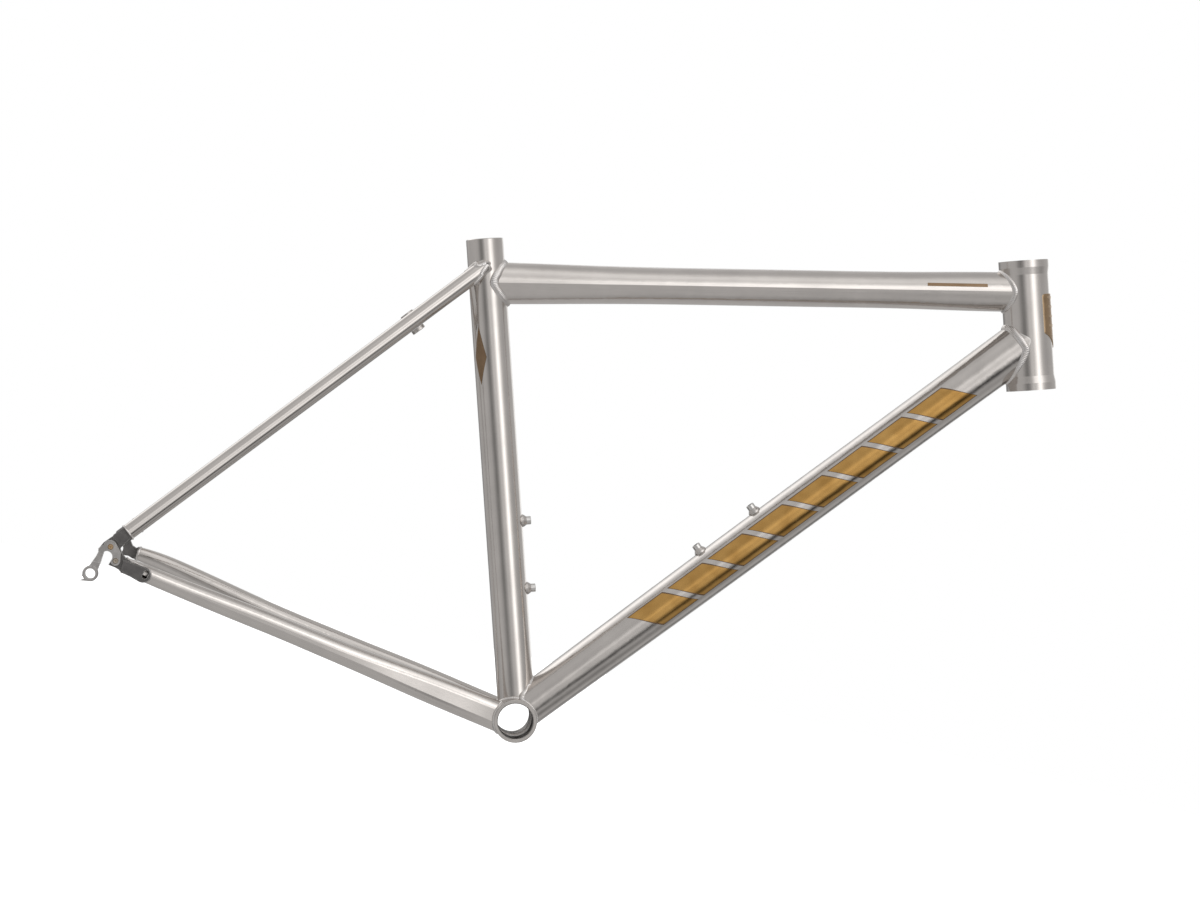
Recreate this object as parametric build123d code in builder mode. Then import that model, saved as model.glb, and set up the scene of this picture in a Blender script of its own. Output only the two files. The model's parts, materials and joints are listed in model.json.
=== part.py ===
"""Road bicycle frame in welded titanium tube, with its bolt-on rear hanger.

Millimetres. The origin is the centre of the bottom bracket, +X points forward
along the bicycle, +Y to the rider's left and +Z up. The drive side is -Y.
"""
from build123d import *
import os
from math import atan2, cos, degrees, radians, sin

os.makedirs("parts", exist_ok=True)

# ---------------------------------------------------------------- driving sizes
SEAT_ANGLE = 73.4            # seat tube and head tube, from the ground
SEAT_OFFSET = 3.5            # seat tube axis passes this far ahead of the origin
SEAT_LENGTH = 453.0          # along the seat tube, origin to its top rim
SEAT_RADIUS = 17.45          # takes a 34.9 mm clamp
SEATPOST_RADIUS = 15.8       # 31.6 mm seatpost
SEATPOST_DEPTH = 130.0       # reamed length
CLAMP_SLOT = (3.0, 32.0)     # width and length of the slot in the back
TUBE_WALL = 1.0

HEAD_GAP = 513.5             # between the parallel seat and head tube axes
HEAD_BOTTOM = 275.6          # along the head tube, from level with the origin
HEAD_TOP = 399.6
HEAD_RADIUS = 22.7
RING_RADIUS = 23.8           # thicker ends of the head tube
RING_HEIGHT = 6.8
RING_CONE = 6.8
HEADSET_RADIUS = 20.6        # 41.2 mm bearing seats
HEADSET_DEPTH = 9.0
HEAD_NECK_RADIUS = 19.0      # shoulder under the bearing
HEAD_RELIEF_RADIUS = 21.0

TOP_TUBE_AT_SEAT = 411.5     # along the seat tube
TOP_TUBE_AT_HEAD = 369.4     # along the head tube
TOP_TUBE_CREASE = 1.6        # the two halves meet at a soft edge

DOWN_TUBE_OFFSET = 1.1       # axis passes this far above the origin
DOWN_TUBE_AT_HEAD = 324.8    # along the head tube

SHELL_WIDTH = 68.0
SHELL_RADIUS = 20.2
THREAD_RADIUS = 16.8         # minor radius, 1.37 in x 24
THREAD_LENGTH = 24.0
SHELL_RELIEF_RADIUS = 17.6
STAY_DRAIN_RISE = 0.19       # slope of the holes towards the chainstays
STAY_DRAIN_APART = 19.0      # from the middle plane
STAY_DRAIN_RADIUS = 3.5
TUBE_DRAIN_RADIUS = 7.0
RIM_CHAMFER = 0.6
EDGE_BREAK = 0.5

AXLE = (-400.7, 72.1)        # rear axle, X and Z
DROPOUT_INNER = 65.0         # half of the 130 mm hub
DROPOUT_THICKNESS = 7.0
AXLE_SLOT_RADIUS = 5.0
AXLE_SLOT_TILT = 17.5        # the slots open down and a little to the rear

SEATSTAY_REAR_RADIUS = 7.3
SEATSTAY_FRONT_RADIUS = 7.9
SEATSTAY_WALL = 0.9
SEATSTAY_REAR = (-386.8, 68.4, 97.6)
SEATSTAY_FRONT = (-119.2, 12.5, 410.4)
SEATSTAY_PAST_SEAT = 2.0     # the stay's closed end, past the seat tube axis
SEATSTAY_END_WALL = 3.0
SEATSTAY_END_ROUNDING = 2.0

CHAINSTAY_WALL = 0.9

BRIDGE_CENTRE = (-174.6, 0, 343.8)
BRIDGE_RADIUS = 5.5
BRIDGE_REACH = 26.0          # to inside the stay, before the mitre
BRAKE_BOSS_RADIUS = 6.8
BRAKE_BOSS_LENGTH = 20.6
BRAKE_BOLT_RADIUS = 3.1
BRAKE_NUT_RADIUS = 4.1
BRAKE_NUT_DEPTH = 11.0

BOTTLE_ON_SEAT = (121.4, 185.4)   # along the seat tube
BOTTLE_ON_DOWN = (236.0, 300.0)   # along the down tube
BOSS_HEIGHT = 4.0
BOSS_BASE_RADIUS = 6.0
BOSS_TOP_RADIUS = 3.9
BOSS_BARREL_RADIUS = 3.9
BOSS_BARREL_DEPTH = 7.0
BOTTLE_BOLT_RADIUS = 2.45    # M5
BOTTLE_BOLT_LENGTH = 12.0
BOTTLE_HEAD_RADIUS = 4.0
BOTTLE_HEAD_HEIGHT = 4.2
BOTTLE_SOCKET = 4.0
BOLT_CLEARANCE = 0.05
BOLT_HEAD_CHAMFER = 0.4
SOCKET_SHARE = 0.55          # socket depth against the height of a bolt's head

HANGER_THICKNESS = 4.0
HANGER_EYE = (-11.2, -18.2)       # derailleur hole from the axle, X and Z
HANGER_EYE_RADIUS = 7.1
HANGER_THREAD_RADIUS = 4.6        # M10 x 1
HANGER_BOLTS = ((1.6, 9.6), (8.7, -1.9))   # from the axle, X and Z
HANGER_BOLT_RADIUS = 1.75
HANGER_HEAD_RADIUS = 2.7
HANGER_HEAD_HEIGHT = 2.2
HANGER_SOCKET = 2.5

# Dropouts and hanger, each point X and Z from the axle
PLUG_LENGTH = 5.0
PLUG_STRAIGHT = 2.0
PLUG_TIP = 0.57                   # size of the plug's tip against the stay
SOCKET_LENGTH = 13.0
SOCKET_STRAIGHT = 7.8
SOCKET_TIP_RADIUS = 4.0
SOCKET_BLOCK = (13.9, 12.6)       # flat face at the seatstay's end, along and across the stay
SOCKET_ROUNDING = 3.0
SOCKET_FACE = 73.2                # from the middle plane
SOCKET_CHAMFER = 0.6
PLATE_ROUNDING = 1.4
TAB_CHAMFER = 0.7
HUB_CLEARANCE = 1.6               # from the hub's round space to the start of the chainstay
HUB_SPACE_DEPTH = 10.0
RIGHT_STAY_START = 17.0
LEFT_STAY_START = 20.6
PLATE_UPPER_OUTLINE = (
    (-7.9, -2.0), (-8.9, 5.4), (-5.6, 12.0), (-0.9, 17.2), (3.4, 21.8), (13.5, 14.5), (10.0, 9.6), (13.0, 5.2),
)
RIGHT_PLATE_OUTLINE = PLATE_UPPER_OUTLINE + (
    (17.0, 2.0), (22.0, 0.8), (22.0, -12.4), (15.0, -10.2), (9.6, -8.4), (3.0, -7.0),
)
LEFT_PLATE_OUTLINE = PLATE_UPPER_OUTLINE + (
    (17.0, 3.6), (21.0, 3.6), (21.0, -6.6), (15.6, -6.8), (11.5, -5.2), (3.0, -5.6),
)
TAB_INNER = 68.0
TAB_OUTER = 75.0
TAB_REAR = 15.0
TAB_CIRCLES = (((15.7, -5.0), 5.2), ((35.4, -9.2), 7.2))
CABLE_HOLE = (37.8, -8.4)
CABLE_HOLE_SIZE = (8.4, 4.7)
CABLE_HOLE_TILT = 75
HANGER_SLOT_RADIUS = 5.2
HANGER_JOGGLE = 1.6
HANGER_EYE_LENGTH = 8.0
HANGER_PLATE_CIRCLES = (((1.2, 9.5), 6.2), ((8.5, -2.0), 4.3), ((9.4, 5.2), 2.4))
HANGER_UPPER_ARM = (
    (-1.0, 12.0), (-6.6, 9.0), (-9.1, 5.6), (-7.7, 4.8), (-9.2, -1.0), (-11.4, -6.6), (-4.2, -6.6), (-3.1, 4.4),
)
HANGER_LOWER_ARM = ((-10.6, -4.6), (-13.9, -11.6), (-11.2, -18.2), (-5.2, -13.4), (-3.9, -4.6))
HANGER_STOP = (
    (-11.2, -18.2), (-16.1, -19.1), (-18.7, -21.4), (-16.6, -22.4), (-15.4, -23.9), (-19.5, -26.4),
    (-9.9, -25.2),
)

BADGE_THICKNESS = 0.8
BADGE_CENTRE = 342.0         # along the head tube
BADGE_HALF_WIDTH = 19.6
BADGE_TOP = 24.6             # from the badge's centre
BADGE_CORNER = -13.0
BADGE_TIP = -28.0
BADGE_ROUNDING = 2.5

# ------------------------------------------------------------- derived geometry
SEAT_UP = Vector(-cos(radians(SEAT_ANGLE)), 0, sin(radians(SEAT_ANGLE)))
SEAT_AHEAD = Vector(sin(radians(SEAT_ANGLE)), 0, cos(radians(SEAT_ANGLE)))
LATERAL = (0, 1, 0)


def on_seat_tube(along):
    """A point on the seat tube axis."""
    return SEAT_AHEAD * SEAT_OFFSET + SEAT_UP * along


def on_head_tube(along):
    """A point on the head tube axis."""
    return SEAT_AHEAD * (SEAT_OFFSET + HEAD_GAP) + SEAT_UP * along


TOP_TUBE_START = on_seat_tube(TOP_TUBE_AT_SEAT)
TOP_TUBE_END = on_head_tube(TOP_TUBE_AT_HEAD)
TOP_TUBE_DIRECTION = (TOP_TUBE_END - TOP_TUBE_START).normalized()

DOWN_TUBE_END = on_head_tube(DOWN_TUBE_AT_HEAD)
DOWN_TUBE_START = Vector(-DOWN_TUBE_END.Z, 0, DOWN_TUBE_END.X).normalized() * DOWN_TUBE_OFFSET
DOWN_TUBE_DIRECTION = (DOWN_TUBE_END - DOWN_TUBE_START).normalized()
DOWN_TUBE_ABOVE = Vector(-DOWN_TUBE_DIRECTION.Z, 0, DOWN_TUBE_DIRECTION.X)

STAY_RISE = Vector(SEATSTAY_FRONT[0] - SEATSTAY_REAR[0], 0, SEATSTAY_FRONT[2] - SEATSTAY_REAR[2]).normalized()
BRAKE_AXIS = Vector(-STAY_RISE.Z, 0, STAY_RISE.X)

# Stations of the top tube: distance from the seat tube axis, half height, half width
TOP_TUBE_STATIONS = (
    (0, 19.8, 16.8), (45, 19.2, 17.6), (95, 18.2, 18.8), (150, 17.5, 19.6), (230, 17.4, 19.8),
    (330, 17.4, 19.6), (400, 17.6, 19.2), (450, 18.5, 18.8), (490, 18.9, 18.4), (530, 19.2, 18.2),
)

# Stations of the down tube: distance from the origin, half height, half width
DOWN_TUBE_STATIONS = (
    (0, 19.0, 24.0), (60, 19.4, 23.8), (130, 20.2, 23.2), (210, 20.9, 22.8), (300, 21.3, 22.5),
    (450, 21.4, 22.5), (540, 21.8, 22.6), (620, 22.2, 22.6),
)

# Stations of the chainstays: X, height, distance from the middle plane, half height, half width.
# The left stay rises more towards its dropout than the right one.
CHAINSTAY_STATIONS = (
    (-245, 43.0, 55.8, 9.8, 8.4), (-195, 33.6, 52.0, 10.2, 8.6), (-150, 25.2, 46.6, 11.1, 8.7),
    (-108, 17.3, 38.6, 12.6, 8.6), (-60, 8.1, 27.2, 13.8, 8.6), (-30, 2.4, 22.0, 14.1, 8.6),
    (0, -3.4, 19.6, 14.2, 8.6),
)
RIGHT_REAR_STATIONS = (
    (-388, 68.2, 65.8, 6.7, 6.5), (-366, 64.3, 64.7, 8.0, 7.4), (-338, 59.1, 63.1, 8.4, 7.9),
    (-300, 52.4, 60.0, 9.1, 8.2),
)
LEFT_REAR_STATIONS = (
    (-383, 71.3, 65.6, 6.4, 6.2), (-366, 69.3, 64.7, 7.5, 7.2), (-350, 66.6, 63.9, 8.1, 7.7),
    (-334, 63.2, 62.8, 8.5, 7.9), (-300, 55.4, 60.0, 9.1, 8.2),
)


def save(piece, name):
    """Label a finished piece and write it as its own STEP file."""
    piece.part.label = name
    export_step(piece.part, f"parts/{name}.step")


def dropout_plane(outboard):
    """Plane facing the rider's right, its origin on the axle; sketch X is forward and sketch Y is up."""
    return Plane(origin=(AXLE[0], -outboard, AXLE[1]), x_dir=(1, 0, 0), z_dir=(0, -1, 0))


# ------------------------------------------------------- outer solids, for mitres
def oval_bar(start, direction, stations, crease=0.0, inset=0.0):
    """A solid lofted through ovals across a straight axis."""
    with BuildPart() as bar:
        for along, half_height, half_width in stations:
            section = Plane(origin=start + direction * along, x_dir=LATERAL, z_dir=direction)
            with BuildSketch(section):
                if crease:
                    with Locations((0, crease)):
                        Ellipse(half_width - inset, half_height + crease - inset)
                    with Locations((0, -crease)):
                        Ellipse(half_width - inset, half_height + crease - inset, mode=Mode.INTERSECT)
                else:
                    Ellipse(half_width - inset, half_height - inset)
        loft()
    return bar


def round_bar(start, end, radius):
    """A plain round bar between two points."""
    start, end = Vector(start), Vector(end)
    with BuildPart() as bar:
        with BuildSketch(Plane(origin=start, z_dir=end - start)):
            Circle(radius)
        extrude(amount=(end - start).length)
    return bar


def tapered_bar(start, end, start_radius, end_radius):
    """A round bar that changes evenly from one radius to another."""
    start, end = Vector(start), Vector(end)
    with BuildPart() as bar:
        with BuildSketch(Plane(origin=start, z_dir=end - start)):
            Circle(start_radius)
        with BuildSketch(Plane(origin=end, z_dir=end - start)):
            Circle(end_radius)
        loft()
    return bar


def chainstay_bar(rear_stations, inset=0.0):
    """A bent and tapered chainstay on the right of the frame, solid and flat-sided."""
    stations = rear_stations + CHAINSTAY_STATIONS
    centres = [Vector(x, -gap, height) for x, height, gap, half_height, half_width in stations]
    with BuildPart() as bar:
        for index, (x, height, gap, half_height, half_width) in enumerate(stations):
            before = centres[max(index - 1, 0)]
            after = centres[min(index + 1, len(centres) - 1)]
            heading = (after - before).normalized()
            across = Vector(-heading.Y, heading.X, 0).normalized()
            with BuildSketch(Plane(origin=centres[index], x_dir=across, z_dir=heading)):
                SlotOverall(2 * (half_height - inset), 2 * (half_width - inset), rotation=90)
        loft()
    return bar


def head_tube_outline():
    """The head tube's outer solid, turned about its own axis."""
    half = (HEAD_TOP - HEAD_BOTTOM) / 2
    middle = on_head_tube((HEAD_TOP + HEAD_BOTTOM) / 2)
    with BuildPart() as body:
        with BuildSketch(Plane(origin=middle, x_dir=SEAT_AHEAD, z_dir=(0, -1, 0))):
            with BuildLine():
                Polyline(
                    (0, -half),
                    (RING_RADIUS, -half),
                    (RING_RADIUS, -half + RING_HEIGHT),
                    (HEAD_RADIUS, -half + RING_HEIGHT + RING_CONE),
                    (HEAD_RADIUS, half - RING_HEIGHT - RING_CONE),
                    (RING_RADIUS, half - RING_HEIGHT),
                    (RING_RADIUS, half),
                    (0, half),
                    close=True,
                )
            make_face()
        revolve(axis=Axis(middle, SEAT_UP))
    return body


seat_tube_bar = round_bar(on_seat_tube(0), on_seat_tube(SEAT_LENGTH), SEAT_RADIUS)
head_tube_bar = head_tube_outline()
shell_bar = round_bar((0, -SHELL_WIDTH / 2, 0), (0, SHELL_WIDTH / 2, 0), SHELL_RADIUS)
down_tube_bar = oval_bar(DOWN_TUBE_START, DOWN_TUBE_DIRECTION, DOWN_TUBE_STATIONS)


# ------------------------------------------------------------------ bottle bosses
def down_tube_half_height(along):
    """The down tube's half height at a distance along it."""
    for (before, low, _), (after, high, _) in zip(DOWN_TUBE_STATIONS, DOWN_TUBE_STATIONS[1:]):
        if before <= along <= after:
            return low + (high - low) * (along - before) / (after - before)
    return DOWN_TUBE_STATIONS[-1][1]


def bottle_boss_planes():
    """Where each boss stands on its tube's surface, pointing into the frame's triangle."""
    planes = []
    for along in BOTTLE_ON_SEAT:
        foot = on_seat_tube(along) + SEAT_AHEAD * SEAT_RADIUS
        planes.append(("seat_tube", Plane(origin=foot, x_dir=LATERAL, z_dir=SEAT_AHEAD)))
    for along in BOTTLE_ON_DOWN:
        half_height = down_tube_half_height(along)
        foot = DOWN_TUBE_START + DOWN_TUBE_DIRECTION * along + DOWN_TUBE_ABOVE * half_height
        planes.append(("down_tube", Plane(origin=foot, x_dir=LATERAL, z_dir=DOWN_TUBE_ABOVE)))
    return planes


BOSS_PLANES = bottle_boss_planes()


def cut_boss_holes(tube_name):
    """Holes for the bosses' barrels, cut from the tube that is being built."""
    for owner, plane in BOSS_PLANES:
        if owner == tube_name:
            reach = plane.z_dir * BOSS_BARREL_DEPTH
            barrel = round_bar(plane.origin - reach, plane.origin + reach, BOSS_BARREL_RADIUS)
            add(barrel.part, mode=Mode.SUBTRACT)


def bottle_boss(plane, tube_bar):
    """A conical welded boss whose barrel passes through the tube's wall."""
    with BuildPart() as boss:
        with BuildSketch(plane.offset(-2)):
            Circle(BOSS_BASE_RADIUS)
        extrude(amount=3)
        with BuildSketch(plane.offset(1)):
            Circle(BOSS_BASE_RADIUS)
        with BuildSketch(plane.offset(BOSS_HEIGHT)):
            Circle(BOSS_TOP_RADIUS)
        loft()
        add(tube_bar.part, mode=Mode.SUBTRACT)
        with BuildSketch(plane.offset(-BOSS_BARREL_DEPTH)):
            Circle(BOSS_BARREL_RADIUS)
        extrude(amount=BOSS_BARREL_DEPTH + 1)
        with BuildSketch(plane.offset(-BOSS_BARREL_DEPTH)):
            Circle(BOTTLE_BOLT_RADIUS + BOLT_CLEARANCE)
        extrude(amount=2 * BOSS_BARREL_DEPTH, mode=Mode.SUBTRACT)
    return boss


def socket_bolt(plane, shank_radius, shank_length, head_radius, head_height, socket_width):
    """A socket-head bolt whose head rests on the plane, the shank going down into it."""
    with BuildPart() as bolt:
        with BuildSketch(plane.offset(-shank_length)):
            Circle(shank_radius)
        extrude(amount=shank_length)
        with BuildSketch(plane):
            Circle(head_radius)
        extrude(amount=head_height)
        rims = bolt.edges().filter_by(GeomType.CIRCLE).sort_by(Axis(plane.origin, plane.z_dir))
        chamfer(rims[-1], BOLT_HEAD_CHAMFER)
        with BuildSketch(plane.offset(head_height)):
            RegularPolygon(socket_width / 2, 6, major_radius=False)
        extrude(amount=-SOCKET_SHARE * head_height, mode=Mode.SUBTRACT)
    return bolt


# ------------------------------------------------------------------- main triangle
def make_seat_tube():
    slot_width, slot_length = CLAMP_SLOT
    with BuildPart() as tube:
        add(seat_tube_bar.part)
        chamfer(tube.edges().filter_by(GeomType.CIRCLE).sort_by(Axis((0, 0, 0), SEAT_UP))[-1], RIM_CHAMFER)
        with BuildSketch(Plane(origin=on_seat_tube(SEAT_LENGTH), z_dir=SEAT_UP)):
            Circle(SEATPOST_RADIUS)
        extrude(amount=-SEATPOST_DEPTH, mode=Mode.SUBTRACT)
        with BuildSketch(Plane(origin=on_seat_tube(0), z_dir=SEAT_UP)):
            Circle(SEAT_RADIUS - TUBE_WALL)
        extrude(amount=SEAT_LENGTH - SEATPOST_DEPTH, mode=Mode.SUBTRACT)
        back = Plane(origin=on_seat_tube(SEAT_LENGTH), x_dir=LATERAL, z_dir=-SEAT_AHEAD)
        with BuildSketch(back):
            with Locations((0, -slot_length / 2), (0, slot_length / 2)):
                Rectangle(slot_width, slot_length)
            with Locations((0, -slot_length), (0, slot_length)):
                Circle(slot_width)
        extrude(amount=2 * SEAT_RADIUS, mode=Mode.SUBTRACT)
        add(shell_bar.part, mode=Mode.SUBTRACT)
        cut_boss_holes("seat_tube")
    return tube


def make_head_tube():
    half = (HEAD_TOP - HEAD_BOTTOM) / 2
    middle = on_head_tube((HEAD_TOP + HEAD_BOTTOM) / 2)
    shoulder = HEADSET_RADIUS - HEAD_NECK_RADIUS
    relief = HEAD_RELIEF_RADIUS - HEAD_NECK_RADIUS
    with BuildPart() as tube:
        add(head_tube_bar.part)
        with BuildSketch(Plane(origin=middle, x_dir=SEAT_AHEAD, z_dir=(0, -1, 0))):
            with BuildLine():
                upper = [
                    (HEAD_RELIEF_RADIUS, half - HEADSET_DEPTH - shoulder - 6 - relief),
                    (HEAD_NECK_RADIUS, half - HEADSET_DEPTH - shoulder - 6),
                    (HEAD_NECK_RADIUS, half - HEADSET_DEPTH - shoulder),
                    (HEADSET_RADIUS, half - HEADSET_DEPTH),
                    (HEADSET_RADIUS, half - EDGE_BREAK),
                    (HEADSET_RADIUS + EDGE_BREAK, half),
                    (0, half),
                ]
                lower = [(radius, -height) for radius, height in reversed(upper)]
                Polyline(*lower, *upper, close=True)
            make_face()
        revolve(axis=Axis(middle, SEAT_UP), mode=Mode.SUBTRACT)
    return tube


def make_top_tube():
    with BuildPart() as tube:
        add(oval_bar(TOP_TUBE_START, TOP_TUBE_DIRECTION, TOP_TUBE_STATIONS, TOP_TUBE_CREASE).part)
        hollow = oval_bar(TOP_TUBE_START, TOP_TUBE_DIRECTION, TOP_TUBE_STATIONS, TOP_TUBE_CREASE, TUBE_WALL)
        add(hollow.part, mode=Mode.SUBTRACT)
        add(seat_tube_bar.part, mode=Mode.SUBTRACT)
        add(head_tube_bar.part, mode=Mode.SUBTRACT)
        add(tube.solids().sort_by(SortBy.VOLUME)[-1], mode=Mode.REPLACE)
    return tube


def make_down_tube():
    with BuildPart() as tube:
        add(down_tube_bar.part)
        hollow = oval_bar(DOWN_TUBE_START, DOWN_TUBE_DIRECTION, DOWN_TUBE_STATIONS, inset=TUBE_WALL)
        add(hollow.part, mode=Mode.SUBTRACT)
        add(head_tube_bar.part, mode=Mode.SUBTRACT)
        add(shell_bar.part, mode=Mode.SUBTRACT)
        add(seat_tube_bar.part, mode=Mode.SUBTRACT)
        cut_boss_holes("down_tube")
        add(tube.solids().sort_by(SortBy.VOLUME)[-1], mode=Mode.REPLACE)
    return tube


def make_bottom_bracket_shell():
    with BuildPart() as shell:
        add(shell_bar.part)
        with BuildSketch(Plane(origin=(0, -SHELL_WIDTH / 2, 0), z_dir=LATERAL)):
            Circle(THREAD_RADIUS)
        extrude(amount=SHELL_WIDTH, mode=Mode.SUBTRACT)
        with BuildSketch(Plane(origin=(0, THREAD_LENGTH - SHELL_WIDTH / 2, 0), z_dir=LATERAL)):
            Circle(SHELL_RELIEF_RADIUS)
        extrude(amount=SHELL_WIDTH - 2 * THREAD_LENGTH, mode=Mode.SUBTRACT)
        rims = shell.edges().filter_by(GeomType.CIRCLE).filter_by(
            lambda edge: abs(abs(edge.arc_center.Y) - SHELL_WIDTH / 2) < 0.1)
        chamfer(rims, RIM_CHAMFER)
        drains = (
            (SEAT_UP, 0, TUBE_DRAIN_RADIUS),
            (DOWN_TUBE_DIRECTION, 0, TUBE_DRAIN_RADIUS),
            (Vector(-1, 0, STAY_DRAIN_RISE), STAY_DRAIN_APART, STAY_DRAIN_RADIUS),
            (Vector(-1, 0, STAY_DRAIN_RISE), -STAY_DRAIN_APART, STAY_DRAIN_RADIUS),
        )
        for direction, lateral, radius in drains:
            with BuildSketch(Plane(origin=(0, lateral, 0), z_dir=direction)):
                Circle(radius)
            extrude(amount=SHELL_RADIUS + 1, mode=Mode.SUBTRACT)
    return shell


# ------------------------------------------------------------------- rear triangle
def make_chainstay(rear_stations, dropout, stay_cut):
    """A right-hand chainstay, shaped around its dropout and cut off at the plane stay_cut."""
    with BuildPart() as stay:
        add(chainstay_bar(rear_stations).part)
        add(chainstay_bar(rear_stations, CHAINSTAY_WALL).part, mode=Mode.SUBTRACT)
        split(bisect_by=stay_cut, keep=Keep.TOP)
        add(shell_bar.part, mode=Mode.SUBTRACT)
        add(seat_tube_bar.part, mode=Mode.SUBTRACT)
        add(dropout.part, mode=Mode.SUBTRACT)
        add(stay.solids().sort_by(SortBy.VOLUME)[-1], mode=Mode.REPLACE)
    return stay


def seatstay_ends(side):
    """The rear and front ends of a seatstay's axis; side is -1 on the right and 1 on the left."""
    rear = Vector(SEATSTAY_REAR[0], side * SEATSTAY_REAR[1], SEATSTAY_REAR[2])
    front = Vector(SEATSTAY_FRONT[0], side * SEATSTAY_FRONT[1], SEATSTAY_FRONT[2])
    return rear, front + (front - rear).normalized() * SEATSTAY_PAST_SEAT


def make_seatstay(side):
    rear, closed_end = seatstay_ends(side)
    hollow_end = closed_end - (closed_end - rear).normalized() * SEATSTAY_END_WALL
    with BuildPart() as stay:
        add(tapered_bar(rear, closed_end, SEATSTAY_REAR_RADIUS, SEATSTAY_FRONT_RADIUS).part)
        fillet(stay.edges().filter_by(GeomType.CIRCLE).sort_by(Axis.Z)[-1], SEATSTAY_END_ROUNDING)
        hollow = tapered_bar(
            rear, hollow_end, SEATSTAY_REAR_RADIUS - SEATSTAY_WALL, SEATSTAY_FRONT_RADIUS - SEATSTAY_WALL)
        add(hollow.part, mode=Mode.SUBTRACT)
        add(seat_tube_bar.part, mode=Mode.SUBTRACT)
        add(stay.solids().sort_by(SortBy.VOLUME)[-1], mode=Mode.REPLACE)
    return stay


def make_brake_boss():
    end = Vector(*BRIDGE_CENTRE) + BRAKE_AXIS * (BRAKE_BOSS_LENGTH / 2)
    with BuildPart() as boss:
        with BuildSketch(Plane(origin=end, z_dir=BRAKE_AXIS)):
            Circle(BRAKE_BOSS_RADIUS)
        extrude(amount=-BRAKE_BOSS_LENGTH)
        chamfer(boss.edges().filter_by(GeomType.CIRCLE), EDGE_BREAK)
        with BuildSketch(Plane(origin=end, z_dir=BRAKE_AXIS)):
            Circle(BRAKE_BOLT_RADIUS)
        extrude(amount=-BRAKE_BOSS_LENGTH, mode=Mode.SUBTRACT)
        with BuildSketch(Plane(origin=end - BRAKE_AXIS * BRAKE_BOSS_LENGTH, z_dir=BRAKE_AXIS)):
            Circle(BRAKE_NUT_RADIUS)
        extrude(amount=BRAKE_NUT_DEPTH, mode=Mode.SUBTRACT)
    return boss


def make_brake_bridge(side):
    """The short tube from the brake boss to one seatstay."""
    centre = Vector(*BRIDGE_CENTRE)
    reach = centre + Vector(0, side * BRIDGE_REACH, 0)
    rear, front = seatstay_ends(side)
    boss_half = BRAKE_AXIS * (BRAKE_BOSS_LENGTH / 2)
    with BuildPart() as bridge:
        add(round_bar(centre, reach, BRIDGE_RADIUS).part)
        add(round_bar(centre, reach, BRIDGE_RADIUS - TUBE_WALL).part, mode=Mode.SUBTRACT)
        add(tapered_bar(rear, front, SEATSTAY_REAR_RADIUS, SEATSTAY_FRONT_RADIUS).part, mode=Mode.SUBTRACT)
        add(round_bar(centre - boss_half, centre + boss_half, BRAKE_BOSS_RADIUS).part, mode=Mode.SUBTRACT)
        add(bridge.solids().sort_by(SortBy.VOLUME)[-1], mode=Mode.REPLACE)
    return bridge


# ------------------------------------------------------------- dropouts and hanger
def cut_axle_slot(radius):
    """Cut the slot that the wheel's axle drops into from the sketch that is being drawn."""
    tilt = radians(AXLE_SLOT_TILT)
    Circle(radius, mode=Mode.SUBTRACT)
    with Locations(Location((-10 * sin(tilt), -10 * cos(tilt)), -AXLE_SLOT_TILT)):
        Rectangle(2 * radius, 20, mode=Mode.SUBTRACT)


def chainstay_plug(rear_stations, start_x):
    """The dropout's end that closes a right-hand chainstay starting at start_x."""
    first, second = rear_stations[0], rear_stations[1]
    share = (start_x - first[0]) / (second[0] - first[0])
    height, gap, half_height, half_width = [a + (b - a) * share for a, b in zip(first[1:], second[1:])]
    start = Vector(start_x, -gap, height)
    heading = (Vector(second[0], -second[2], second[1]) - start).normalized()
    across = Vector(-heading.Y, heading.X, 0).normalized()
    with BuildPart() as plug:
        with BuildSketch(Plane(origin=start, x_dir=across, z_dir=heading)):
            SlotOverall(2 * half_height, 2 * half_width, rotation=90)
        extrude(amount=-PLUG_STRAIGHT)
        with BuildSketch(Plane(origin=start - heading * PLUG_STRAIGHT, x_dir=across, z_dir=heading)):
            SlotOverall(2 * half_height, 2 * half_width, rotation=90)
        with BuildSketch(Plane(origin=start - heading * PLUG_LENGTH, x_dir=across, z_dir=heading)):
            SlotOverall(2 * PLUG_TIP * half_height, 2 * PLUG_TIP * half_width, rotation=90)
        loft()
    return plug, Plane(origin=start, z_dir=heading)


def seatstay_plug():
    """The dropout's end that closes the right seatstay, with a flat outer face."""
    rear, front = seatstay_ends(-1)
    direction = (front - rear).normalized()
    middle = rear - direction * (SOCKET_BLOCK[0] / 2)
    rise = degrees(atan2(direction.Z, direction.X))
    with BuildPart() as block:
        with BuildSketch(dropout_plane(DROPOUT_INNER)):
            with Locations(Location((middle.X - AXLE[0], middle.Z - AXLE[1]), rise)):
                RectangleRounded(*SOCKET_BLOCK, SOCKET_ROUNDING)
        extrude(amount=SOCKET_FACE - DROPOUT_INNER)
        chamfer(block.faces().sort_by(Axis.Y)[0].edges(), SOCKET_CHAMFER)
    with BuildPart() as plug:
        with BuildSketch(Plane(origin=rear, z_dir=direction)):
            Circle(SEATSTAY_REAR_RADIUS)
        extrude(amount=-SOCKET_STRAIGHT)
        with BuildSketch(Plane(origin=rear - direction * SOCKET_STRAIGHT, z_dir=direction)):
            Circle(SEATSTAY_REAR_RADIUS)
        with BuildSketch(Plane(origin=rear - direction * SOCKET_LENGTH, z_dir=direction)):
            Circle(SOCKET_TIP_RADIUS)
        loft()
        with BuildSketch(dropout_plane(SOCKET_FACE)):
            with Locations((rear.X - AXLE[0], rear.Z - AXLE[1])):
                Circle(3 * SOCKET_LENGTH)
        extrude(amount=SOCKET_LENGTH, mode=Mode.SUBTRACT)
        add(block.part)
        split(bisect_by=Plane(origin=rear, z_dir=-direction), keep=Keep.TOP)
    return plug


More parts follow.
